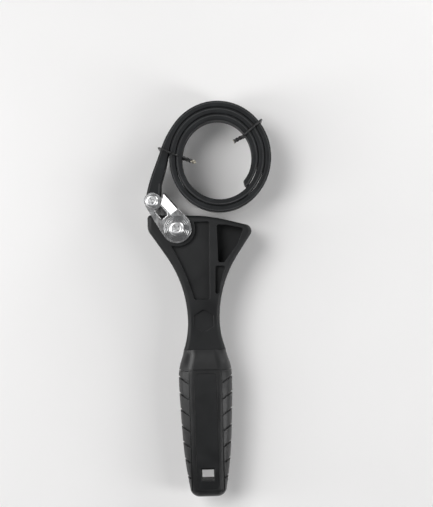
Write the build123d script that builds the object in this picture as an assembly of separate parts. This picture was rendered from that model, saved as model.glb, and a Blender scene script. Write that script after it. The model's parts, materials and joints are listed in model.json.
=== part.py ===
from build123d import *
import os
from math import asin, cos, degrees, radians, sin, tan

# Strap wrench for large pipe: nylon handle with a soft grip, steel shackle that swings on the
# head, and a reinforced rubber strap that hangs on the shackle's pin and is stored as a coil.
#
# The wrench lies on its back. +Y runs from the grip towards the coil, +X to the right and +Z up,
# off the front face. Every part is drawn in a working frame whose origin is on the handle's centre
# line, level with the shackle's pivot and half way through the head. export_parts() then moves them
# all together, so that the origin of the finished model is under the middle of the whole wrench.
# Millimetres and degrees throughout.

# Lengths used by cuts: far past the tool's width and thickness, and the tolerance of a comparison
FAR = 60.0
NEAR = 0.01

# Head and neck
HEAD_LEFT = 40.3
HEAD_RIGHT = 40.8
HEAD_TOP_LEFT_Y = 10.8
HEAD_CROWN = (6.0, 8.9)
HEAD_HALF = 14.0
FLANK_ANGLE = 34.0
FLANK_RADIUS = 88.0
NECK_HALF_WIDTH = 12.0
NECK_Y = -69.7
NECK_FLARE_RADIUS = 68.0
NECK_HALF = 11.4
TAPER_START_Y = -34.0
TAPER_EASE = 0.45
EDGE_ROUNDING = 3.0
HEAD_CORNERS = {"top_left": 3.0, "crown": 100.0, "left": 9.0, "right": 5.0}
POCKET_FLOOR = 10.0
DEEP_POCKET_FLOOR = 2.0
POCKET_CORNER = 1.5
LEFT_POCKET = [
    (6.2, 4.6), (-8.0, 4.6), (-26.0, -8.0), (-22.6, -13.8),
    (-16.8, -25.4), (-11.1, -39.2), (-6.6, -54.0), (5.2, -54.0),
]
DEEP_POCKET = [(11.6, 2.2), (19.0, 1.8), (31.8, -1.2), (27.4, -12.6), (16.8, -26.3), (12.0, -26.3)]
LOWER_RIGHT_POCKET = [
    (9.8, -28.9), (17.9, -28.9), (15.3, -36.0), (13.4, -43.0), (12.4, -50.0), (9.2, -50.0),
]
BOSS_RADIUS = 13.5
THUMB_RECESS = (0.0, -70.0)
THUMB_RECESS_RADIUS = 8.6
THUMB_RECESS_TURN = 30.0
THUMB_RECESS_FLOOR = 11.05
THUMB_RECESS_CORNER = 1.2

# Grip: (y, half width, half thickness) stations from the neck to the butt
GRIP_TOP_Y = -91.7
GRIP_STATIONS = [
    (GRIP_TOP_Y, 15.9, 11.6),
    (-97.0, 17.0, 12.1),
    (-102.0, 18.7, 13.0),
    (-107.5, 19.9, 13.7),
    (-114.0, 20.2, 14.0),
    (-122.0, 20.1, 14.1),
    (-130.0, 19.85, 14.1),
    (-138.0, 19.5, 14.0),
    (-147.0, 19.1, 13.8),
    (-156.0, 18.6, 13.4),
    (-165.0, 18.0, 12.9),
    (-174.0, 17.2, 12.3),
    (-184.0, 15.95, 11.4),
    (-194.0, 14.4, 10.35),
    (-203.4, 12.6, 9.2),
]
GRIP_ROUNDNESS = 0.8
BUTT_ROUNDING = 7.0
SLEEVE_WALL = 3.4
GROOVE_DEPTH = 0.9
GROOVE_WIDTH = 1.7
GROOVE_SLANT = 30.0
GROOVE_INNER_X = 12.6
GROOVE_OUTER_X = 19.0
GROOVE_FIRST_Y = -112.6
GROOVE_PITCH = 12.1
GROOVE_COUNT = 7
COLLAR_GROOVE_Y = -107.2
COLLAR_GROOVE_WIDTH = 1.2
PANEL_WIDTH = 16.8
PANEL_TOP_Y = -109.5
PANEL_END_Y = -197.5
PANEL_CORNER = 2.5
PANEL_SINK = 0.25
BORDER_WIDTH = 24.6
BORDER_LENGTH = 93.0
BORDER_GROOVE = 0.7
BORDER_DEPTH = 0.35
HANG_HOLE = (9.0, 8.4)
HANG_HOLE_Y = -186.4
HANG_HOLE_CHAMFER = 1.0
HANG_HOLE_MOUTH_Z = 11.05

# Shackle: a U-shaped stamping, drawn with u along the line from the pivot to the strap pin
PIVOT = (-18.4, 0.0)
PIN_DISTANCE = 27.5
SHACKLE_ANGLE = 130.3
PLATE = 2.0
EAR_INNER_Z = 14.7
PIVOT_LOBE_RADIUS = 11.1
PIN_LOBE_RADIUS = 6.3
BEND_V = -2.8
WEB_V = -11.0
EAR_LAP = 3.0
BEVEL_ANGLE = 36.0
BEND_RADIUS = 2.4
BEVEL_START_U = 10.5
WEB_START_U = 13.2
BEVEL_END_INNER_U = 20.8
BEVEL_END_OUTER_U = 27.0
WINDOW_U = (12.4, 20.2)
WINDOW_V = (-1.9, 3.7)
WINDOW_ROUNDING = 1.0
WINDOW_RIM_ROUNDING = 0.8

# Pivot hardware
PIVOT_SLEEVE_RADIUS = 5.0
PIVOT_SHANK_RADIUS = 3.0
PIVOT_HEAD_RADIUS = 5.8
RUNNING_CLEARANCE = 0.08
SHANK_CLEARANCE = 0.15
CUP_STEPS = [(9.5, 0.7), (8.2, 1.35), (6.9, 2.0)]
CUP_ROUNDING = 0.4
REAR_WASHER_RADIUS = 6.9
THRUST_WASHER_RADIUS = 9.5
THRUST_GAP = 0.1
REAR_WASHER_HEIGHT = 1.0
PIVOT_NUT_ACROSS_FLATS = 10.0
PIVOT_NUT_HEIGHT = 3.4
PIVOT_INSERT_RADIUS = 4.1
NUT_COLLAR_HEIGHT = 1.4
NUT_ROUND = 0.56
NUT_COLLAR = 0.46
NUT_CHAMFER = 0.35

# Strap pin hardware
PIN_SLEEVE_RADIUS = 3.5
PIN_SHANK_RADIUS = 2.5
PIN_HEAD_RADIUS = 5.1
PIN_WASHER_RADIUS = 6.1
PIN_WASHER_HEIGHT = 0.8
PIN_NUT_ACROSS_FLATS = 8.0
PIN_NUT_HEIGHT = 2.8
PIN_INSERT_RADIUS = 3.3
HEAD_HEIGHT = 3.1
HEAD_SHOULDER = 0.45
HEAD_CROWN_SHARE = 0.5
HEAD_BULGE = 0.86
RECESS_DEPTH = 1.9
RECESS_MOUTH = (1.08, 0.26)
RECESS_FLOOR = (0.42, 0.16)
PIVOT_SCREW_TURN = 40.0
PIN_SCREW_TURN = 65.0

# Strap: the outer face's half axes at the coil's left side, and the loss of radius per turn
COIL_CENTRE = (14.5, 52.2)
COIL_HALF_AXES = (42.1, 44.3)
COIL_PITCH = 4.95
COIL_JOIN_ANGLE = 35.0
COIL_END_ANGLE = 945.0
COIL_STEP = 7.0
TIP_SLANT = 4.0
STRAP_THICKNESS = 4.6
STRAP_HALF_WIDTH = 12.7
COVER_THICKNESS = 0.9
PLY_THICKNESS = 0.6
TREAD_EDGE_ROUNDING = 1.2
COVER_EDGE_ROUNDING = 0.6
EYE_RADIUS = 5.6
EYE_LIFT_ANGLE = 73.0
TAB_RIGHT_ANGLE = 85.0
TAB_INNER_POINTS = [(-24.3, 52.0), (-26.2, 44.2)]
TAB_OUTER_POINTS = [(-38.4, 34.2), (-34.8, 44.4), (-31.4, 52.9), (-27.5, 63.2)]
TAB_OUTER_NORMAL = (sin(radians(70.0)), -cos(radians(70.0)))
TAB_LEG_HEIGHT = 13.5
TAB_INNER_JOIN_ANGLE = 14.0

# Coil ties: where each one crosses the bundle, and where its twisted tail ends
TIE_RADIUS = 0.9
TIE_GAP = 0.25
TIE_CORNER = 2.0
TAIL_RADIUS = 1.5
TAIL_Z = 7.0
LEFT_TIE = {"outer": (-29.2, 60.3), "inner": (-17.5, 55.2), "tail": (-2.8, 49.4)}
RIGHT_TIE = {"outer": (46.6, 79.2), "inner": (34.5, 69.0), "tail": (26.4, 64.6)}


def rounded_polygon(points, radius):
    """Closed polygon with every corner rounded."""
    return make_face(FilletPolyline(*points, radius=radius, close=True))


def disc(radius, bottom, height, centre=(0, 0)):
    """Cylinder that stands on z = bottom."""
    place = Pos(centre[0], centre[1], bottom)
    return place * Cylinder(radius, height, align=(Align.CENTER, Align.CENTER, Align.MIN))


def tube(outer, inner, bottom, height):
    """Straight tube about the z axis."""
    return disc(outer, bottom, height) - disc(inner, bottom, height)


def both_faces(solid):
    """A solid and its mirror image through the middle of the head."""
    return [solid, mirror(solid, about=Plane.XY)]


# ---------------------------------------------------------------- handle

def flank_point(side, angle):
    """Point on the flank's arc, which leaves the neck upright and leans outwards."""
    turn = radians(angle)
    x = NECK_HALF_WIDTH + FLANK_RADIUS * (1 - cos(turn))
    return (side * x, NECK_Y + FLANK_RADIUS * sin(turn))


def neck_point(side, angle):
    """Point on the arc that widens the neck down to the grip."""
    turn = radians(angle)
    x = NECK_HALF_WIDTH + NECK_FLARE_RADIUS * (1 - cos(turn))
    return (side * x, NECK_Y - NECK_FLARE_RADIUS * sin(turn))


def head_outline():
    """Front outline of the head and neck."""
    flare_angle = degrees(asin((NECK_Y - GRIP_TOP_Y) / NECK_FLARE_RADIUS))
    flank_x, flank_y = flank_point(1, FLANK_ANGLE)
    slope = tan(radians(FLANK_ANGLE))
    left_corner = (-HEAD_LEFT, flank_y + (HEAD_LEFT - flank_x) / slope)
    right_corner = (HEAD_RIGHT, flank_y + (HEAD_RIGHT - flank_x) / slope)
    top_left = (-HEAD_LEFT, HEAD_TOP_LEFT_Y)
    edges = [Polyline(top_left, HEAD_CROWN, right_corner, flank_point(1, FLANK_ANGLE))]
    edges.append(ThreePointArc(*[flank_point(1, FLANK_ANGLE * part) for part in (1, 0.5, 0)]))
    edges.append(ThreePointArc(*[neck_point(1, flare_angle * part) for part in (0, 0.5, 1)]))
    edges.append(Line(neck_point(1, flare_angle), neck_point(-1, flare_angle)))
    edges.append(ThreePointArc(*[neck_point(-1, flare_angle * part) for part in (1, 0.5, 0)]))
    edges.append(ThreePointArc(*[flank_point(-1, FLANK_ANGLE * part) for part in (0, 0.5, 1)]))
    edges.append(Line(flank_point(-1, FLANK_ANGLE), left_corner))
    edges.append(Line(left_corner, top_left))
    outline = make_face(Curve() + edges)
    corners = {"top_left": top_left, "crown": HEAD_CROWN, "left": left_corner, "right": right_corner}
    for name, point in corners.items():
        corner = outline.vertices().sort_by_distance(point)[0]
        outline = fillet(corner, HEAD_CORNERS[name])
    return outline


def side_profile():
    """Side outline of the head and neck: full thickness at the head, thinner at the grip."""
    top = HEAD_TOP_LEFT_Y + EDGE_ROUNDING
    ease = (TAPER_START_Y - GRIP_TOP_Y) * TAPER_EASE
    front = Bezier(
        (TAPER_START_Y, HEAD_HALF),
        (TAPER_START_Y - ease, HEAD_HALF),
        (GRIP_TOP_Y + ease, NECK_HALF),
        (GRIP_TOP_Y, NECK_HALF),
    )
    rear = Bezier(
        (GRIP_TOP_Y, -NECK_HALF),
        (GRIP_TOP_Y + ease, -NECK_HALF),
        (TAPER_START_Y - ease, -HEAD_HALF),
        (TAPER_START_Y, -HEAD_HALF),
    )
    head = Polyline(
        (TAPER_START_Y, -HEAD_HALF), (top, -HEAD_HALF), (top, HEAD_HALF), (TAPER_START_Y, HEAD_HALF)
    )
    butt = Line((GRIP_TOP_Y, NECK_HALF), (GRIP_TOP_Y, -NECK_HALF))
    return Plane.YZ * make_face(Curve() + [front, butt, rear, head])


def is_outline_edge(edge):
    """True for the edges that run round the front and rear outlines."""
    centre = edge @ 0.5
    across = edge.bounding_box().size.Y < NEAR
    return abs(centre.Z) > NECK_HALF - 1 and not across


def head_blank():
    """Head and neck before the pockets, with rounded outline edges."""
    plate = extrude(head_outline(), HEAD_HALF, both=True)
    blank = plate & extrude(side_profile(), HEAD_LEFT * 2, both=True)
    return fillet(blank.edges().filter_by(is_outline_edge), EDGE_ROUNDING)


def pockets():
    """Cutters for the front pockets: two shallow ones beside the rib and a deep triangular one."""
    left = rounded_polygon(LEFT_POCKET, POCKET_CORNER)
    left -= Pos(*PIVOT) * Circle(BOSS_RADIUS)
    lower_right = rounded_polygon(LOWER_RIGHT_POCKET, POCKET_CORNER)
    deep = rounded_polygon(DEEP_POCKET, POCKET_CORNER)
    shallow_depth = HEAD_HALF - POCKET_FLOOR
    deep_depth = HEAD_HALF - DEEP_POCKET_FLOOR
    cutters = [extrude(Pos(0, 0, POCKET_FLOOR) * face, shallow_depth) for face in (left, lower_right)]
    cutters.append(extrude(Pos(0, 0, DEEP_POCKET_FLOOR) * deep, deep_depth))
    return cutters


def thumb_recess():
    """Shallow six-sided recess in the neck."""
    recess = RegularPolygon(THUMB_RECESS_RADIUS, 6, rotation=THUMB_RECESS_TURN)
    recess = fillet(recess.vertices(), THUMB_RECESS_CORNER)
    return extrude(Pos(*THUMB_RECESS, THUMB_RECESS_FLOOR) * recess, HEAD_HALF - THUMB_RECESS_FLOOR)


def grip_body(inset=0.0):
    """Body of the grip, or the same body a wall's thickness smaller all round."""
    faces = []
    for y, half_width, half_thickness in GRIP_STATIONS:
        face = RectangleRounded(
            2 * (half_width - inset),
            2 * (half_thickness - inset),
            GRIP_ROUNDNESS * half_thickness - inset / 2,
        )
        faces.append(Plane(origin=(0, y, 0), x_dir=(1, 0, 0), z_dir=(0, -1, 0)) * face)
    body = loft(faces)
    end = body.faces().sort_by(Axis.Y)[0]
    body = fillet(end.edges(), BUTT_ROUNDING - inset / 2)
    if inset:
        butt_y = GRIP_STATIONS[-1][0]
        body -= Pos(0, butt_y + inset / 2, 0) * Box(FAR, inset, FAR)
    return body


def panel_window():
    """Block through the grip where the hard core shows between the soft sides."""
    length = PANEL_TOP_Y - PANEL_END_Y
    window = RectangleRounded(PANEL_WIDTH, length, PANEL_CORNER)
    return extrude(Pos(0, (PANEL_TOP_Y + PANEL_END_Y) / 2) * window, FAR, both=True)


def hang_hole():
    """Rectangular hole through the butt, with its mouths chamfered."""
    width, height = HANG_HOLE
    hole = Box(width, height, FAR)
    flare = 2 * HANG_HOLE_CHAMFER
    mouth = loft([
        Pos(0, 0, HANG_HOLE_MOUTH_Z - HANG_HOLE_CHAMFER) * Rectangle(width, height),
        Pos(0, 0, HANG_HOLE_MOUTH_Z + flare) * Rectangle(width + 3 * flare, height + 3 * flare),
    ])
    for cutter in both_faces(mouth):
        hole += cutter
    return Pos(0, HANG_HOLE_Y, 0) * hole


def handle_core():
    """Nylon moulding: head, neck, tang inside the grip, and the lands of the centre panels."""
    core = head_blank()
    for pocket in pockets() + [thumb_recess()]:
        for cutter in both_faces(pocket):
            core -= cutter
    core += grip_body(SLEEVE_WALL)
    core += grip_body(PANEL_SINK) & panel_window()
    bore = PIVOT_SLEEVE_RADIUS + RUNNING_CLEARANCE
    core -= disc(bore, -HEAD_HALF, 2 * HEAD_HALF, PIVOT)
    return core - hang_hole()


def panel_border():
    """Frame that cuts a fine line round the centre panel."""
    outline = RectangleRounded(BORDER_WIDTH, BORDER_LENGTH, PANEL_CORNER)
    frame = outline - offset(outline, -BORDER_GROOVE)
    return extrude(Pos(0, (PANEL_TOP_Y + PANEL_END_Y) / 2) * frame, FAR, both=True)


def grooves():
    """Slabs that cut the slanted grooves in both sides of the grip, and the collar groove."""
    length = FAR / 2
    slabs = [Pos(0, COLLAR_GROOVE_Y, 0) * Box(FAR, COLLAR_GROOVE_WIDTH, FAR)]
    for side in (-1, 1):
        slant = Rot(0, 0, side * GROOVE_SLANT)
        slab = slant * Box(2 * FAR, GROOVE_WIDTH, FAR)
        slab &= Pos(side * (GROOVE_INNER_X + length / 2), 0, 0) * Box(length, FAR, FAR)
        rise = tan(radians(GROOVE_SLANT)) * GROOVE_OUTER_X
        for index in range(GROOVE_COUNT):
            slabs.append(Pos(0, GROOVE_FIRST_Y - GROOVE_PITCH * index - rise, 0) * slab)
    return slabs


def grip_sleeve(tang):
    """Soft sleeve moulded over the tang, open over the two centre panels."""
    body = grip_body()
    skin = body - grip_body(GROOVE_DEPTH)
    sleeve = body - tang - panel_window()
    for slab in grooves():
        sleeve -= skin & slab
    return sleeve - ((body - grip_body(BORDER_DEPTH)) & panel_border())


# ---------------------------------------------------------------- shackle

def on_shackle(shape):
    """Move a shape from the shackle's own frame, u along its arm, to the working frame."""
    return Pos(PIVOT[0], PIVOT[1], 0) * Rot(0, 0, SHACKLE_ANGLE) * shape


def ear_outline():
    """Flat part of an ear: both lobes, and the shoulder beside the pivot."""
    lobes = Circle(PIVOT_LOBE_RADIUS) + Pos(PIN_DISTANCE, 0) * Circle(PIN_LOBE_RADIUS)
    outline = make_hull(lobes.edges())
    shoulder = Pos(BEVEL_START_U / 2, WEB_V / 2) * Rectangle(BEVEL_START_U, -WEB_V)
    bevel = make_face(Polyline(
        (BEVEL_START_U, BEND_V),
        (BEVEL_END_INNER_U, BEND_V),
        (BEVEL_END_OUTER_U, WEB_V),
        (BEVEL_END_OUTER_U, 2 * WEB_V),
        (BEVEL_START_U, 2 * WEB_V),
        close=True,
    ))
    return outline + shoulder - bevel


def shackle_channel():
    """Bevelled front, web and bevelled rear of the stamping, as one bent strip."""
    middle = PLATE / 2
    ear_z = EAR_INNER_Z + middle
    web_v = WEB_V + middle
    drop = (BEND_V - web_v) * tan(radians(BEVEL_ANGLE))
    path = FilletPolyline(
        (BEND_V + EAR_LAP, ear_z), (BEND_V, ear_z), (web_v, ear_z - drop),
        (web_v, drop - ear_z), (BEND_V, -ear_z), (BEND_V + EAR_LAP, -ear_z),
        radius=BEND_RADIUS,
    )
    section = trace(path, PLATE)
    plane = Plane(origin=(BEVEL_START_U, 0, 0), x_dir=(0, 1, 0), z_dir=(1, 0, 0))
    channel = extrude(plane * section, BEVEL_END_OUTER_U - BEVEL_START_U)
    slope = (BEVEL_END_OUTER_U - BEVEL_END_INNER_U) / (BEND_V - WEB_V)
    reach = BEND_V + 2 * EAR_LAP
    keep = make_face(Polyline(
        (0, reach), (BEVEL_END_INNER_U - slope * (reach - BEND_V), reach),
        (BEVEL_END_OUTER_U, WEB_V), (BEVEL_END_OUTER_U + slope, WEB_V - 1), (0, WEB_V - 1),
        close=True,
    ))
    channel &= extrude(keep, 2 * EAR_INNER_Z, both=True)
    nose = Pos((BEVEL_START_U + WEB_START_U) / 2, WEB_V, 0)
    relief = nose * Box(WEB_START_U - BEVEL_START_U, 3 * PLATE, 2 * (ear_z - drop))
    return channel - relief


def is_window_rim(edge):
    """Whether an edge of the shackle runs round the window on the front ear's outer face."""
    place = edge.center()
    on_face = abs(place.Z - EAR_INNER_Z - PLATE) < NEAR
    across = WINDOW_U[0] - NEAR < place.X < WINDOW_U[1] + NEAR
    along = WINDOW_V[0] - NEAR < place.Y < WINDOW_V[1] + NEAR
    return on_face and across and along


def shackle():
    """One-piece stamping: two ears joined by a web on the pipe's side."""
    ear = extrude(Pos(0, 0, EAR_INNER_Z) * ear_outline(), PLATE)
    ear -= disc(PIVOT_SHANK_RADIUS + SHANK_CLEARANCE, EAR_INNER_Z, PLATE)
    ear -= disc(PIN_SHANK_RADIUS + SHANK_CLEARANCE, EAR_INNER_Z, PLATE, (PIN_DISTANCE, 0))
    body = shackle_channel()
    for part in both_faces(ear):
        body += part
    width = WINDOW_U[1] - WINDOW_U[0]
    height = WINDOW_V[1] - WINDOW_V[0]
    window = RectangleRounded(width, height, WINDOW_ROUNDING)
    centre = Pos(sum(WINDOW_U) / 2, sum(WINDOW_V) / 2, EAR_INNER_Z)
    body -= extrude(centre * window, PLATE)
    return on_shackle(fillet(body.edges().filter_by(is_window_rim), WINDOW_RIM_ROUNDING))


# ---------------------------------------------------------------- pivot and pin hardware

def cross_recess(top, head_radius):
    """Cross-shaped driver recess sunk from z = top."""
    mouth = Rectangle(RECESS_MOUTH[0] * head_radius, RECESS_MOUTH[1] * head_radius)
    floor = Rectangle(RECESS_FLOOR[0] * head_radius, RECESS_FLOOR[1] * head_radius)
    wing = loft([Pos(0, 0, top) * mouth, Pos(0, 0, top - RECESS_DEPTH) * floor])
    return wing + Rot(0, 0, 90) * wing


def pan_head_screw(shank_radius, head_radius, seat, end):
    """Pan head machine screw: head seated at z = seat, shank down to z = end."""
    shoulder = HEAD_SHOULDER * HEAD_HEIGHT
    top = seat + HEAD_HEIGHT
    crown = HEAD_CROWN_SHARE * head_radius
    rim = (head_radius, seat + shoulder)
    bulge = (HEAD_BULGE * head_radius, seat + HEAD_BULGE * HEAD_HEIGHT)
    profile = Curve() + [
        Polyline((0, end), (shank_radius, end), (shank_radius, seat), (head_radius, seat), rim),
        ThreePointArc(rim, bulge, (crown, top)),
        Polyline((crown, top), (0, top), (0, end)),
    ]
    screw = revolve(Plane.XZ * make_face(profile), Axis.Z)
    return screw - cross_recess(top, head_radius)


def lock_nut(across_flats, height, bore, insert_radius, top):
    """Hexagon nut with a round collar that holds a nylon ring; it hangs below z = top."""
    bottom = top - height
    hexagon = extrude(Pos(0, 0, bottom) * RegularPolygon(across_flats / 2, 6, major_radius=False), height)
    round_stock = Pos(0, 0, bottom + height / 2) * Cylinder(NUT_ROUND * across_flats, height)
    nut = hexagon & chamfer(round_stock.edges().filter_by(GeomType.CIRCLE), NUT_CHAMFER)
    collar_bottom = bottom - NUT_COLLAR_HEIGHT
    nut += disc(NUT_COLLAR * across_flats, collar_bottom, NUT_COLLAR_HEIGHT)
    nut -= disc(bore, collar_bottom, height + NUT_COLLAR_HEIGHT)
    return nut - disc(insert_radius, collar_bottom, NUT_COLLAR_HEIGHT)


def at_pivot(solid):
    """Move a turned part to the pivot's axis."""
    return Pos(*PIVOT) * solid


def at_pin(solid):
    """Move a turned part to the strap pin's axis."""
    return on_shackle(Pos(PIN_DISTANCE, 0, 0) * solid)


def pivot_parts():
    """The clamped stack through the head and both ears."""
    ear_outer = EAR_INNER_Z + PLATE
    hole = PIVOT_SHANK_RADIUS + SHANK_CLEARANCE
    nut_top = -ear_outer - REAR_WASHER_HEIGHT
    nut_bottom = nut_top - PIVOT_NUT_HEIGHT
    cup = Part()
    for radius, height in CUP_STEPS:
        step = tube(radius, hole, ear_outer, height)
        top_rims = step.edges().filter_by(GeomType.CIRCLE).group_by(Axis.Z)[-1]
        cup += fillet(top_rims.sort_by(SortBy.LENGTH)[-1], CUP_ROUNDING)
    thrust_height = EAR_INNER_Z - HEAD_HALF - THRUST_GAP
    thrust = tube(THRUST_WASHER_RADIUS, PIVOT_SLEEVE_RADIUS + SHANK_CLEARANCE, HEAD_HALF, thrust_height)
    screw_seat = ear_outer + CUP_STEPS[-1][1]
    screw = pan_head_screw(
        PIVOT_SHANK_RADIUS, PIVOT_HEAD_RADIUS, screw_seat, nut_bottom - NUT_COLLAR_HEIGHT
    )
    parts = {
        "pivot_screw": Rot(0, 0, PIVOT_SCREW_TURN) * screw,
        "pivot_cup_washer": cup,
        "pivot_sleeve": tube(PIVOT_SLEEVE_RADIUS, hole, -EAR_INNER_Z, 2 * EAR_INNER_Z),
        "thrust_washer_front": thrust,
        "thrust_washer_rear": mirror(thrust, about=Plane.XY),
        "pivot_rear_washer": tube(REAR_WASHER_RADIUS, hole, nut_top, REAR_WASHER_HEIGHT),
        "pivot_lock_nut": lock_nut(
            PIVOT_NUT_ACROSS_FLATS, PIVOT_NUT_HEIGHT, PIVOT_SHANK_RADIUS, PIVOT_INSERT_RADIUS, nut_top
        ),
        "pivot_nut_insert": tube(
            PIVOT_INSERT_RADIUS, PIVOT_SHANK_RADIUS, nut_bottom - NUT_COLLAR_HEIGHT, NUT_COLLAR_HEIGHT
        ),
    }
    return {name: at_pivot(solid) for name, solid in parts.items()}


def pin_parts():
    """The clamped stack that carries the strap's eye between the ears."""
    ear_outer = EAR_INNER_Z + PLATE
    hole = PIN_SHANK_RADIUS + SHANK_CLEARANCE
    nut_top = -ear_outer - PIN_WASHER_HEIGHT
    nut_bottom = nut_top - PIN_NUT_HEIGHT
    washer = tube(PIN_WASHER_RADIUS, hole, ear_outer, PIN_WASHER_HEIGHT)
    screw = pan_head_screw(
        PIN_SHANK_RADIUS, PIN_HEAD_RADIUS, ear_outer + PIN_WASHER_HEIGHT, nut_bottom - NUT_COLLAR_HEIGHT
    )
    parts = {
        "pin_screw": Rot(0, 0, PIN_SCREW_TURN) * screw,
        "pin_front_washer": washer,
        "pin_rear_washer": mirror(washer, about=Plane.XY),
        "pin_sleeve": tube(PIN_SLEEVE_RADIUS, hole, -EAR_INNER_Z, 2 * EAR_INNER_Z),
        "pin_lock_nut": lock_nut(
            PIN_NUT_ACROSS_FLATS, PIN_NUT_HEIGHT, PIN_SHANK_RADIUS, PIN_INSERT_RADIUS, nut_top
        ),
        "pin_nut_insert": tube(
            PIN_INSERT_RADIUS, PIN_SHANK_RADIUS, nut_bottom - NUT_COLLAR_HEIGHT, NUT_COLLAR_HEIGHT
        ),
    }
    return {name: at_pin(solid) for name, solid in parts.items()}


# ---------------------------------------------------------------- strap

def pin_centre():
    """Centre of the strap pin in the working frame."""
    arm = radians(SHACKLE_ANGLE)
    return (PIVOT[0] + PIN_DISTANCE * cos(arm), PIVOT[1] + PIN_DISTANCE * sin(arm))


def coil_point(angle, depth):
    """Point on the coil, wound clockwise by angle from its left side, depth in from its outer face."""
    shrink = COIL_PITCH * angle / 360 + depth
    turn = radians(180 - angle)
    x = COIL_CENTRE[0] + (COIL_HALF_AXES[0] - shrink) * cos(turn)
    y = COIL_CENTRE[1] + (COIL_HALF_AXES[1] - shrink) * sin(turn)
    return (x, y)


def coil_points(start, end, depth):
    """Evenly wound points along the coil from one angle to another."""
    steps = round(abs(end - start) / COIL_STEP)
    return [coil_point(start + (end - start) * index / steps, depth) for index in range(steps + 1)]


def eye_point(direction, depth):
    """Point on the eye's outer face, or depth inside it."""
    centre = pin_centre()
    turn = radians(direction)
    radius = EYE_RADIUS - depth
    return (centre[0] + radius * cos(turn), centre[1] + radius * sin(turn))


def leg_top(depth):
    """Upper end of the leg that comes back up the tab's right side."""
    x, y = eye_point(TAB_RIGHT_ANGLE - 90, depth)
    rise = radians(TAB_RIGHT_ANGLE)
    return (x + TAB_LEG_HEIGHT * cos(rise), y + TAB_LEG_HEIGHT * sin(rise))


def outer_path(depth):
    """Curve at a depth inside the outer face: leg, round the eye, up the tab and round the coil."""
    leg_foot = eye_point(TAB_RIGHT_ANGLE - 90, depth)
    lift = eye_point(EYE_LIFT_ANGLE + 90, depth)
    eye_bottom = eye_point(TAB_RIGHT_ANGLE - 180, depth)
    nx, ny = TAB_OUTER_NORMAL
    tab = [(x + nx * depth, y + ny * depth) for x, y in TAB_OUTER_POINTS]
    coil = coil_points(COIL_JOIN_ANGLE, COIL_END_ANGLE, depth)
    rise = radians(EYE_LIFT_ANGLE)
    end_slope = radians(90 - COIL_END_ANGLE)
    return [
        Line(leg_top(depth), leg_foot),
        ThreePointArc(leg_foot, eye_bottom, lift),
        Spline(lift, *tab, *coil, tangents=[(cos(rise), sin(rise)), (cos(end_slope), sin(end_slope))]),
    ]


def belt_layer(outer_depth, inner_depth):
    """Layer of the belt between two depths, along its whole length."""
    outer = outer_path(outer_depth)
    inner = outer_path(inner_depth)
    ends = [Line(outer[0] @ 0, inner[0] @ 0), Line(outer[-1] @ 1, inner[-1] @ 1)]
    return extrude(make_face(Curve() + outer + inner + ends), STRAP_HALF_WIDTH, both=True)


def long_edges(layer):
    """The four edges that run the length of a belt layer, the two outer ones first."""
    rims = [edge for edge in layer.edges() if abs(edge.center().Z) > STRAP_HALF_WIDTH - NEAR]
    return sorted(rims, key=lambda edge: -edge.length)[:4]


def strap_tread():
    """Thick rubber layer that grips the pipe, with the moulded eye for the strap pin."""
    depth = COVER_THICKNESS + PLY_THICKNESS
    outer = outer_path(depth)
    inner_points = coil_points(COIL_END_ANGLE - TIP_SLANT, TAB_INNER_JOIN_ANGLE, STRAP_THICKNESS)
    foot = leg_top(0)
    inner = Spline(*inner_points, *TAB_INNER_POINTS, foot)
    ends = [Line(outer[-1] @ 1, inner @ 0), Line(foot, outer[0] @ 0)]
    face = make_face(Curve() + outer + [inner] + ends)
    face -= Pos(*pin_centre()) * Circle(PIN_SLEEVE_RADIUS + RUNNING_CLEARANCE)
    tread = extrude(face, STRAP_HALF_WIDTH, both=True)
    return fillet(long_edges(tread)[2:], TREAD_EDGE_ROUNDING)


def strap_parts():
    """Rubber cover, woven ply and rubber tread, bonded face to face."""
    ply_depth = COVER_THICKNESS + PLY_THICKNESS
    cover = belt_layer(0, COVER_THICKNESS)
    return {
        "strap_cover": fillet(long_edges(cover)[:2], COVER_EDGE_ROUNDING),
        "strap_ply": belt_layer(COVER_THICKNESS, ply_depth),
        "strap_tread": strap_tread(),
    }


def coil_tie(outer, inner, tail):
    """Wire loop round the bundle of turns, with its twisted tail inside the coil."""
    start = Vector(*outer)
    across = Vector(*inner) - start
    reach = TIE_RADIUS + TIE_GAP
    plane = Plane(origin=start + across * 0.5, x_dir=across, z_dir=across.cross(Vector(0, 0, 1)))
    width = across.length + 2 * reach
    height = 2 * (STRAP_HALF_WIDTH + reach)
    loop_path = plane * RectangleRounded(width, height, TIE_CORNER)
    path = loop_path.wires()[0]
    section = Plane(origin=path @ 0, z_dir=path % 0) * Circle(TIE_RADIUS)
    loop = sweep(section, path=path)
    tail_start = start + across.normalized() * (across.length + reach) + Vector(0, 0, TAIL_Z)
    tail_end = Vector(tail[0], tail[1], TAIL_Z)
    run = tail_end - tail_start
    twist = Pos(0, 0, run.length / 2) * Cylinder(TAIL_RADIUS, run.length)
    return loop + Plane(origin=tail_start, z_dir=run) * twist


def all_parts():
    """Every sub-part by name, in the working frame."""
    core = handle_core()
    parts = {
        "handle_core": core,
        "grip_sleeve": grip_sleeve(grip_body(SLEEVE_WALL)),
        "shackle": shackle(),
        "tie_left": coil_tie(**LEFT_TIE),
        "tie_right": coil_tie(**RIGHT_TIE),
    }
    parts.update(pivot_parts())
    parts.update(pin_parts())
    parts.update(strap_parts())
    return parts


def export_parts():
    """Move the wrench so that its origin is under its middle, and write one file per sub-part."""
    parts = all_parts()
    box = Compound(children=[Compound(part.solids()) for part in parts.values()]).bounding_box()
    shift = Pos(-box.center().X, -box.center().Y, -box.min.Z)
    os.makedirs("parts", exist_ok=True)
    for name, part in parts.items():
        export_step(shift * part, f"parts/{name}.step")
    print("box size", box.size, "shift", shift.position)


export_parts()
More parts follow.
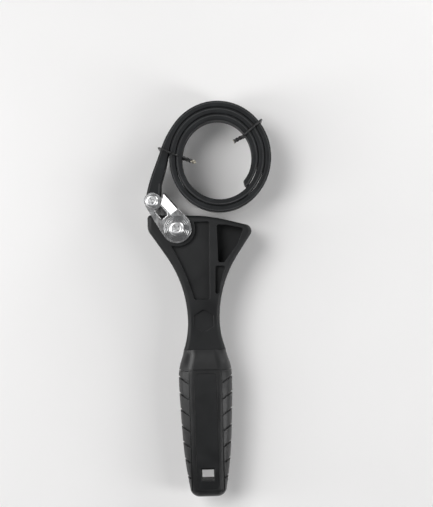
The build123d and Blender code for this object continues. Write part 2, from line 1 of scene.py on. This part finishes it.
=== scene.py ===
"""Looks of the strap wrench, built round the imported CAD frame."""
import json
from math import cos, pi, radians, sin, tau

import bmesh
import bpy
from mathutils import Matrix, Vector


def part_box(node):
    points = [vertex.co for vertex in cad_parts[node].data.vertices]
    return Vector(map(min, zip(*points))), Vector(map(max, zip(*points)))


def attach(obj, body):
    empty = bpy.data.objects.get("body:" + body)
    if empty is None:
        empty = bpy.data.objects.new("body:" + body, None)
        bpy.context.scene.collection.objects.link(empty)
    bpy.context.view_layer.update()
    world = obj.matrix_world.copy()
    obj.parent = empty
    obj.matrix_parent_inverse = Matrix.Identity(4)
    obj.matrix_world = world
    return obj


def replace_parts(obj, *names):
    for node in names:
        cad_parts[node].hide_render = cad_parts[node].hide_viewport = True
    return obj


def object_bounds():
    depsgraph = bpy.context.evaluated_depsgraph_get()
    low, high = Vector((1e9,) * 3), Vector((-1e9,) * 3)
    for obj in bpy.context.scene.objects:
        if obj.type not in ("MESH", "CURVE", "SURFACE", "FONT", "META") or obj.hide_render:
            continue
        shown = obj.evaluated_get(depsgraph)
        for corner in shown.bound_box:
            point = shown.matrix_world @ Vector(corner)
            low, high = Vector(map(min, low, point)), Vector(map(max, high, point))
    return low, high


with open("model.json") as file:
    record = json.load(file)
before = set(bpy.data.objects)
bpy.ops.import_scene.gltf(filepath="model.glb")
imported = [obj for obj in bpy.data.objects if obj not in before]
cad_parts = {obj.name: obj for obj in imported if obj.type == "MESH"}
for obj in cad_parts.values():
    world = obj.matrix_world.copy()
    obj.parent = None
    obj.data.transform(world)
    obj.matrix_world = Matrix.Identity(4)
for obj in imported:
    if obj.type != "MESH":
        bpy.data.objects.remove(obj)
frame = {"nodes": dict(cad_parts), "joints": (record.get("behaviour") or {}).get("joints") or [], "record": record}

CAD_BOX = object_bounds()
MM = 0.001

JOINTS = {joint["name"]: Vector(joint["pos_m"]) for joint in frame["joints"]}
PIVOT = JOINTS["shackle_swing"]
PIN = JOINTS["strap_swing"]

# Camera, from the pivot: it looks straight down on the wrench from this far above the pivot's middle.
CAMERA_OFFSET = Vector((29.36, -19.63, 1140.0)) * MM
CAMERA_ROLL = radians(-1.6)
CAMERA_LENS = 106.5

# Ties, in millimetres from the pivot: outer and inner corner of each loop, and the end of its tail.
# Past bare_from of its length a strand is bare wire, thinner by BARE_SHARE.
TIES = {
    "left": {"outer": (-10.8, 60.3), "inner": (0.9, 55.2), "tail": (15.6, 49.4), "bare_from": 0.74},
    "right": {"outer": (65.0, 79.2), "inner": (52.9, 69.0), "tail": (44.8, 64.6), "bare_from": 0.93},
}
TIE_REACH = 1.15
TAIL_HEIGHT = 7.0
WIRE_RADIUS = 0.85
LOOP_CORNER = 2.0

# Strands of a tail: tucked in at the loop, one turn per TWIST_PITCH, standing off past SPLAY_FROM.
STRAND_RADIUS = 0.82
STRAND_STEPS = 60
TWIST_PITCH = 5.2
SPLAY_FROM = 0.84
SPLAYS = (1.3, 0.7)
TUCK_SHARE = 0.25
TUCK_RATE = 9
BARE_SHARE = 0.72
BARE_LAG = 0.05

# Studio: the floor's reach and its drop below the wrench, and the lamps by name, each with its place
# from the middle of the wrench, its size and its power. Metres and watts.
FLOOR_REACH = 4.0
FLOOR_DROP = 0.05 * MM
LAMPS = {
    "ceiling": ((0, 0, 1.7), (1.0, 1.0), 0.25),
    "overhead": ((-0.65, 0.45, 1.25), (0.7, 0.7), 10),
    "upper_right": ((0.66, 0.56, 0.28), (0.45, 0.5), 3.2),
    "left_strip": ((-0.80, -0.05, 0.42), (0.25, 1.1), 4),
    "right_strip": ((0.80, -0.25, 0.55), (0.25, 1.0), 4),
}
AIMED_AT_PIVOT = "upper_right"
WORLD_COLOUR = (0.92, 0.94, 1.0, 1)
WORLD_STRENGTH = 0.10


class Look:
    """A node material on object coordinates, which are metres in the part's own frame."""

    def __init__(self, name, **sockets):
        self.data = bpy.data.materials.new(name)
        self.data.use_nodes = True
        self.tree = self.data.node_tree
        self.shader = self.tree.nodes["Principled BSDF"]
        for label, value in sockets.items():
            self.shader.inputs[label.replace("_", " ")].default_value = value
        self.coords = self.add("TexCoord").outputs["Object"]

    def add(self, kind, inputs=None, **settings):
        node = self.tree.nodes.new("ShaderNode" + kind)
        for key, value in settings.items():
            setattr(node, key, value)
        for key, value in (inputs or {}).items():
            if isinstance(value, bpy.types.NodeSocket):
                self.tree.links.new(value, node.inputs[key])
            else:
                node.inputs[key].default_value = value
        return node

    def place(self, stretch=(1, 1, 1), turn=(0, 0, 0), centre=(0, 0, 0)):
        """Coordinates about a centre, turned and stretched."""
        moved = self.add("VectorMath", {0: self.coords, 1: centre}, operation="SUBTRACT").outputs[0]
        inputs = {"Vector": moved, "Rotation": turn, "Scale": stretch}
        return self.add("Mapping", inputs).outputs["Vector"]

    def noise(self, scale, detail=3.0, where=None, distortion=0.0):
        inputs = {"Vector": where or self.coords, "Scale": scale, "Detail": detail,
                  "Distortion": distortion}
        return self.add("TexNoise", inputs).outputs["Fac"]

    def cells(self, scale, where=None, feature="F1"):
        inputs = {"Vector": where or self.coords, "Scale": scale}
        return self.add("TexVoronoi", inputs, feature=feature).outputs["Distance"]

    def rings(self, centre, scale, distortion=0.4):
        """Turned marks round an axis along Z."""
        inputs = {"Vector": self.place(centre=centre), "Scale": scale, "Distortion": distortion,
                  "Detail": 2.0, "Detail Scale": 40.0}
        return self.add("TexWave", inputs, wave_type="RINGS", rings_direction="Z").outputs["Fac"]

    def spread(self, value, low, high, start=0.3, end=0.7):
        """A value between start and end, spread over low to high."""
        inputs = {"Value": value, "From Min": start, "From Max": end, "To Min": low, "To Max": high}
        return self.add("MapRange", inputs).outputs["Result"]

    def times(self, first, second):
        return self.add("Math", {0: first, 1: second}, operation="MULTIPLY").outputs[0]

    def plus(self, first, second):
        return self.add("Math", {0: first, 1: second}, operation="ADD").outputs[0]

    def ramp(self, value, *stops):
        """Colours at places from 0 to 1."""
        node = self.add("ValToRGB", {"Fac": value})
        elements = node.color_ramp.elements
        while len(elements) < len(stops):
            elements.new(0.5)
        for element, (place, colour) in zip(elements, stops):
            element.position = place
            element.color = (*colour, 1.0)
        return node.outputs["Color"]

    def mix(self, factor, first, second):
        inputs = {"Factor": factor, "A": first, "B": second}
        node = self.add("Mix", data_type="RGBA")
        sockets = {"Factor": node.inputs[0], "A": node.inputs[6], "B": node.inputs[7]}
        for key, value in inputs.items():
            if isinstance(value, bpy.types.NodeSocket):
                self.tree.links.new(value, sockets[key])
            else:
                sockets[key].default_value = value
        return node.outputs[2]

    def edges(self, radius, start=0.80, end=0.985):
        """1 along sharp edges and 0 on the flats, and the normal that rounds those edges."""
        rounded = self.add("Bevel", {"Radius": radius}, samples=6).outputs["Normal"]
        true = self.add("NewGeometry").outputs["Normal"]
        same = self.add("VectorMath", {0: rounded, 1: true}, operation="DOT_PRODUCT").outputs["Value"]
        return self.spread(same, 1.0, 0.0, start, end), rounded

    def bump(self, height, distance, normal=None):
        inputs = {"Height": height, "Distance": distance}
        if normal is not None:
            inputs["Normal"] = normal
        return self.add("Bump", inputs).outputs["Normal"]

    def finish(self, colour, roughness, normal):
        for value, label in ((colour, "Base Color"), (roughness, "Roughness"), (normal, "Normal")):
            self.tree.links.new(value, self.shader.inputs[label])
        return self.data


def grey(value, warm=0.0):
    """A near-neutral colour, made warmer, or cooler when negative, by a share."""
    return (value * (1 + warm), value, value * (1 - warm))


def nylon():
    """Glass-filled nylon: matte, faintly grained and swirled, rubbed lighter on its edges."""
    look = Look("nylon", IOR=1.5, Specular_IOR_Level=0.30)
    edge, rounded = look.edges(0.7 * MM)
    swirl = look.noise(38, 4, distortion=0.6)
    grain = look.cells(1900)
    base = look.ramp(
        swirl, (0.30, grey(0.010, -0.04)), (0.55, grey(0.014, -0.04)), (0.75, grey(0.019, -0.03)))
    rubbed = look.times(edge, look.spread(look.noise(420, 3), 0.0, 0.55, 0.40, 0.62))
    colour = look.mix(rubbed, base, (*grey(0.05, -0.03), 1))
    roughness = look.spread(look.plus(swirl, look.times(grain, 0.25)), 0.40, 0.56, 0.35, 0.85)
    normal = look.bump(look.noise(70, 2), 0.10 * MM, rounded)
    normal = look.bump(grain, 0.030 * MM, normal)
    return look.finish(colour, roughness, normal)


def grip_rubber():
    """Soft moulded grip: satin, finely pebbled, with dull handled patches."""
    look = Look("grip_rubber", IOR=1.5, Specular_IOR_Level=0.38, Sheen_Weight=0.06, Sheen_Roughness=0.4)
    edge, rounded = look.edges(0.5 * MM)
    patches = look.noise(48, 4, distortion=0.4)
    pebble = look.cells(2600)
    base = look.ramp(patches, (0.3, grey(0.012, -0.02)), (0.7, grey(0.019, -0.02)))
    colour = look.mix(look.times(edge, 0.35), base, (*grey(0.05), 1))
    roughness = look.spread(patches, 0.30, 0.44)
    normal = look.bump(look.noise(150, 3), 0.05 * MM, rounded)
    normal = look.bump(pebble, 0.018 * MM, normal)
    return look.finish(colour, roughness, normal)


def washer_plastic():
    """Plain black plastic washers, slightly polished by turning."""
    look = Look("washer_plastic", IOR=1.5)
    turned = look.rings(PIVOT, 900)
    blotch = look.noise(300, 3)
    colour = look.ramp(blotch, (0.3, grey(0.022)), (0.7, grey(0.04)))
    roughness = look.spread(look.plus(turned, blotch), 0.28, 0.5, 0.4, 1.6)
    return look.finish(colour, roughness, look.bump(turned, 0.006 * MM))


def bright_steel():
    """Plated stamping: rolled sheet with fine scratches, faint ripples and lighter sheared edges."""
    look = Look("bright_steel", Metallic=1.0)
    edge, rounded = look.edges(0.45 * MM)
    rolled = look.noise(900, 4, look.place(stretch=(1, 0.05, 1), turn=(0, 0, radians(40))))
    scuff = look.noise(230, 4, distortion=0.6)
    base = look.ramp(scuff, (0.32, grey(0.42, 0.01)), (0.52, grey(0.49)), (0.70, grey(0.55, -0.01)))
    colour = look.mix(look.times(edge, 0.5), base, (*grey(0.80), 1))
    roughness = look.spread(look.plus(rolled, look.times(scuff, 0.8)), 0.20, 0.34, 0.6, 1.2)
    normal = look.bump(look.noise(70, 1), 0.05 * MM, rounded)
    normal = look.bump(rolled, 0.002 * MM, normal)
    return look.finish(colour, roughness, normal)


def chrome_steel(name="chrome_steel", centre=PIVOT, tone=0.50, dull=0.15):
    """Nickel plate on a turned part, brighter or duller, with faint tool marks and water marks."""
    look = Look(name, Metallic=1.0)
    edge, _ = look.edges(0.20 * MM)
    turned = look.rings(centre, 650, 0.1)
    marks = look.noise(260, 3, distortion=0.4)
    base = look.ramp(
        marks, (0.30, grey(0.9 * tone, 0.01)), (0.50, grey(tone)), (0.70, grey(1.08 * tone, -0.01)))
    colour = look.mix(look.times(edge, 0.5), base, (*grey(0.85), 1))
    roughness = look.spread(look.plus(look.times(turned, 0.15), marks), dull, dull + 0.09, 0.35, 0.80)
    return look.finish(colour, roughness, look.bump(look.noise(200, 1), 0.004 * MM))


def zinc_steel():
    """Zinc plate: faintly blue and yellow, mottled and softly dull."""
    look = Look("zinc_steel", Metallic=1.0)
    edge, rounded = look.edges(0.30 * MM)
    mottle = look.cells(520, feature="SMOOTH_F1")
    cloud = look.noise(160, 4, distortion=0.5)
    base = look.ramp(
        cloud, (0.30, (0.50, 0.53, 0.57)), (0.52, (0.60, 0.61, 0.62)), (0.72, (0.65, 0.62, 0.55)))
    colour = look.mix(look.times(edge, 0.5), base, (*grey(0.78), 1))
    roughness = look.spread(look.plus(mottle, cloud), 0.24, 0.42, 0.5, 1.3)
    return look.finish(colour, roughness, look.bump(mottle, 0.005 * MM, rounded))


def insert_plastic():
    """Blue nylon ring of a lock nut, cut by the thread."""
    look = Look("insert_plastic", IOR=1.5, Subsurface_Weight=0.15, Subsurface_Scale=0.001)
    blotch = look.noise(700, 3)
    colour = look.ramp(blotch, (0.3, (0.05, 0.12, 0.36)), (0.7, (0.10, 0.20, 0.46)))
    return look.finish(colour, look.spread(blotch, 0.35, 0.55), look.bump(blotch, 0.02 * MM))


def strap_rubber():
    """Moulded rubber: slate grey, chalky in patches, with calender lines along the belt."""
    look = Look("strap_rubber", IOR=1.48, Specular_IOR_Level=0.26, Sheen_Weight=0.06, Sheen_Roughness=0.5)
    edge, rounded = look.edges(0.8 * MM, 0.7, 0.97)
    lines = look.noise(40, 3, look.place(stretch=(1, 1, 22)))
    bloom = look.noise(85, 5, distortion=0.8)
    grain = look.noise(1500, 2)
    base = look.ramp(
        bloom, (0.30, grey(0.007, -0.09)), (0.52, grey(0.011, -0.09)), (0.72, grey(0.019, -0.08)))
    colour = look.mix(look.times(edge, 0.4), base, (*grey(0.045, -0.06), 1))
    roughness = look.spread(look.plus(bloom, look.times(grain, 0.3)), 0.48, 0.70, 0.4, 0.9)
    normal = look.bump(lines, 0.10 * MM, rounded)
    normal = look.bump(grain, 0.035 * MM, normal)
    return look.finish(colour, roughness, normal)


def strap_ply():
    """Rubberised woven cords between the rubber layers."""
    look = Look("strap_ply", IOR=1.45, Sheen_Weight=0.15)
    warp = look.noise(60, 2, look.place(stretch=(1, 1, 30)))
    weft = look.noise(1300, 1)
    weave = look.plus(warp, look.times(weft, 0.7))
    colour = look.ramp(weave, (0.6, grey(0.016, -0.03)), (1.0, grey(0.050, -0.02)))
    return look.finish(colour, look.spread(weave, 0.65, 0.85, 0.5, 1.2), look.bump(weave, 0.08 * MM))


def tie_plastic():
    """Glossy plastic coating over thin wire, scuffed where it was twisted."""
    look = Look("tie_plastic", IOR=1.5, Coat_Weight=0.35, Coat_Roughness=0.12)
    scuff = look.noise(900, 4, distortion=0.6)
    colour = look.ramp(scuff, (0.42, grey(0.012)), (0.66, grey(0.030)), (0.78, grey(0.11)))
    return look.finish(colour, look.spread(scuff, 0.22, 0.5), look.bump(scuff, 0.05 * MM))


def tie_core():
    """Bare wire at the cut end of a tie."""
    look = Look("tie_core", Metallic=0.6)
    tarnish = look.noise(1200, 3)
    colour = look.ramp(tarnish, (0.3, (0.40, 0.36, 0.28)), (0.7, (0.66, 0.62, 0.52)))
    return look.finish(colour, look.spread(tarnish, 0.3, 0.5), look.bump(tarnish, 0.02 * MM))


def pale_floor():
    """Plain pale floor, faintly clouded."""
    look = Look("pale_floor", IOR=1.4)
    cloud = look.noise(3, 3)
    colour = look.ramp(cloud, (0.35, grey(0.90, 0.01)), (0.65, grey(0.94, 0.01)))
    return look.finish(colour, look.spread(cloud, 0.62, 0.7), look.bump(look.noise(400, 2), 0.05 * MM))


def paint(materials):
    """Gives every CAD node the look of its slot; the turned parts have their own axis and brightness."""
    slots = {part["node"]: part["material_slot"] for part in frame["record"]["subparts"]}
    turned = {
        "pivot_screw": chrome_steel("chrome_steel_pivot_screw", PIVOT, 0.80, 0.30),
        "pin_screw": chrome_steel("chrome_steel_pin_screw", PIN, 0.80, 0.30),
        "pin_front_washer": chrome_steel("chrome_steel_pin_washer", PIN, 0.62, 0.22),
    }
    for name, node in frame["nodes"].items():
        node.data.materials.clear()
        node.data.materials.append(turned.get(name) or materials[slots[name]])


def new_piece(name, mesh_maker, looks, body):
    """A mesh piece from a function that fills a bmesh, with one or more materials, riding on a body."""
    mesh = bpy.data.meshes.new(name)
    bm = bmesh.new()
    mesh_maker(bm)
    bmesh.ops.recalc_face_normals(bm, faces=bm.faces)
    bm.to_mesh(mesh)
    bm.free()
    for polygon in mesh.polygons:
        polygon.use_smooth = True
    for look in looks:
        mesh.materials.append(look)
    piece = bpy.data.objects.new(name, mesh)
    bpy.context.scene.collection.objects.link(piece)
    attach(piece, body)
    return piece


def add_tube(bm, points, radius, closed=False, sides=12, bare_from=None):
    """Tube along points, closed into a loop or capped; past bare_from of its length it is bare wire."""
    count = len(points)
    rings = []
    side = None
    for index, point in enumerate(points):
        before = points[index - 1] if index or closed else point
        after = points[(index + 1) % count] if index + 1 < count or closed else point
        along = (after - before).normalized()
        if side is None:
            side = along.orthogonal().normalized()
        side = (side - along * side.dot(along)).normalized()
        up = along.cross(side)
        bare = bare_from is not None and index / (count - 1) > bare_from
        here = radius * (BARE_SHARE if bare else 1.0)
        ring = [bm.verts.new(point + (side * cos(tau * k / sides) + up * sin(tau * k / sides)) * here)
                for k in range(sides)]
        rings.append(ring)
    if closed:
        offset = min(range(sides), key=lambda k: (rings[0][k].co - rings[-1][0].co).length)
        pairs = list(zip(rings, rings[1:])) + [(rings[-1], rings[0][offset:] + rings[0][:offset])]
    else:
        pairs = list(zip(rings, rings[1:]))
        bm.faces.new(reversed(rings[0]))
        cap = bm.faces.new(rings[-1])
        cap.material_index = 0 if bare_from is None else 1
    for place, (first, second) in enumerate(pairs):
        bare = bare_from is not None and place / (count - 1) > bare_from
        for k in range(sides):
            face = bm.faces.new((first[k], first[(k + 1) % sides], second[(k + 1) % sides], second[k]))
            face.material_index = 1 if bare else 0


def rounded_loop(corners, radius, steps=6):
    """Closed run of points through corners that are rounded to a radius."""
    points = []
    count = len(corners)
    for index, corner in enumerate(corners):
        back = (corners[index - 1] - corner).normalized()
        ahead = (corners[(index + 1) % count] - corner).normalized()
        centre = corner + (back + ahead) * radius
        for step in range(steps + 1):
            turn = step / steps * pi / 2
            points.append(centre - ahead * radius * cos(turn) - back * radius * sin(turn))
    return points


def tie_piece(side, materials):
    """Wire loop round the coil with its ends twisted together inside it."""
    spec = TIES[side]
    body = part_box("strap_tread")
    half = (body[1].z - body[0].z) / 2
    at = {key: PIVOT + Vector((*spec[key], 0)) * MM for key in ("outer", "inner", "tail")}
    across = (at["inner"] - at["outer"]).normalized()
    reach = TIE_REACH * MM
    up = Vector((0, 0, half + reach))
    corners = [at["outer"] - across * reach - up, at["outer"] - across * reach + up,
               at["inner"] + across * reach + up, at["inner"] + across * reach - up]
    start = at["inner"] + across * reach + Vector((0, 0, TAIL_HEIGHT * MM))
    end = at["tail"] + Vector((0, 0, TAIL_HEIGHT * MM))
    run = end - start
    along = run.normalized()
    sideways = along.cross(Vector((0, 0, 1)))
    above = Vector((0, 0, 1))

    def strand(phase, splay):
        """Twisted wire from the loop to the tail's end, where it stands off by its splay."""
        points = []
        for index in range(STRAND_STEPS + 1):
            share = index / STRAND_STEPS
            open_up = max(0.0, share - SPLAY_FROM) / (1 - SPLAY_FROM)
            turn = tau * (share * run.length / (TWIST_PITCH * MM)) + phase
            swing = STRAND_RADIUS * MM * (1 - open_up) + splay * open_up * MM
            swing *= min(1.0, TUCK_SHARE + share * TUCK_RATE)
            points.append(start + run * share + (sideways * cos(turn) + above * sin(turn)) * swing)
        return points

    def fill(bm):
        add_tube(bm, rounded_loop(corners, LOOP_CORNER * MM), WIRE_RADIUS * MM, closed=True)
        for phase, splay, lag in ((0.0, SPLAYS[0], 0.0), (pi, SPLAYS[1], BARE_LAG)):
            add_tube(bm, strand(phase, splay), STRAND_RADIUS * MM, bare_from=spec["bare_from"] + lag)

    looks = [materials["tie_plastic"], materials["tie_core"]]
    piece = new_piece(f"tie_wire_{side}", fill, looks, "strap")
    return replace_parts(piece, f"tie_{side}")


def area_light(name, place, target, size, power):
    """A white rectangular lamp at a place, turned to face a target."""
    light = bpy.data.lights.new(name, "AREA")
    light.shape = "RECTANGLE"
    light.size, light.size_y = size
    light.energy = power
    holder = bpy.data.objects.new(name, light)
    bpy.context.scene.collection.objects.link(holder)
    holder.location = place
    holder.rotation_euler = (target - place).to_track_quat("-Z", "Y").to_euler()


def studio():
    """Floor, soft lights and the camera."""
    middle = (Vector(CAD_BOX[0]) + Vector(CAD_BOX[1])) / 2
    mesh = bpy.data.meshes.new("floor")
    corners = [(x * FLOOR_REACH, y * FLOOR_REACH, 0) for x, y in ((-1, -1), (1, -1), (1, 1), (-1, 1))]
    mesh.from_pydata(corners, [], [(0, 1, 2, 3)])
    mesh.materials.append(pale_floor())
    floor = bpy.data.objects.new("floor", mesh)
    bpy.context.scene.collection.objects.link(floor)
    floor.location.z = CAD_BOX[0][2] - FLOOR_DROP

    for name, (place, size, power) in LAMPS.items():
        target = PIVOT if name == AIMED_AT_PIVOT else middle
        area_light(name, middle + Vector(place), target, size, power)

    world = bpy.data.worlds.new("studio")
    world.use_nodes = True
    background = world.node_tree.nodes["Background"]
    background.inputs["Color"].default_value = WORLD_COLOUR
    background.inputs["Strength"].default_value = WORLD_STRENGTH
    bpy.context.scene.world = world

    camera = bpy.data.objects.new("camera", bpy.data.cameras.new("camera"))
    bpy.context.scene.collection.objects.link(camera)
    camera.data.lens = CAMERA_LENS
    camera.location = PIVOT + CAMERA_OFFSET
    camera.rotation_euler = (0, 0, CAMERA_ROLL)
    bpy.context.scene.camera = camera
    bpy.context.scene.view_settings.view_transform = "Standard"


makers = [nylon, grip_rubber, washer_plastic, bright_steel, chrome_steel, zinc_steel, insert_plastic,
          strap_rubber, strap_ply, tie_plastic, tie_core]
materials = {maker.__name__: maker() for maker in makers}
paint(materials)
for side in TIES:
    tie_piece(side, materials)
studio()
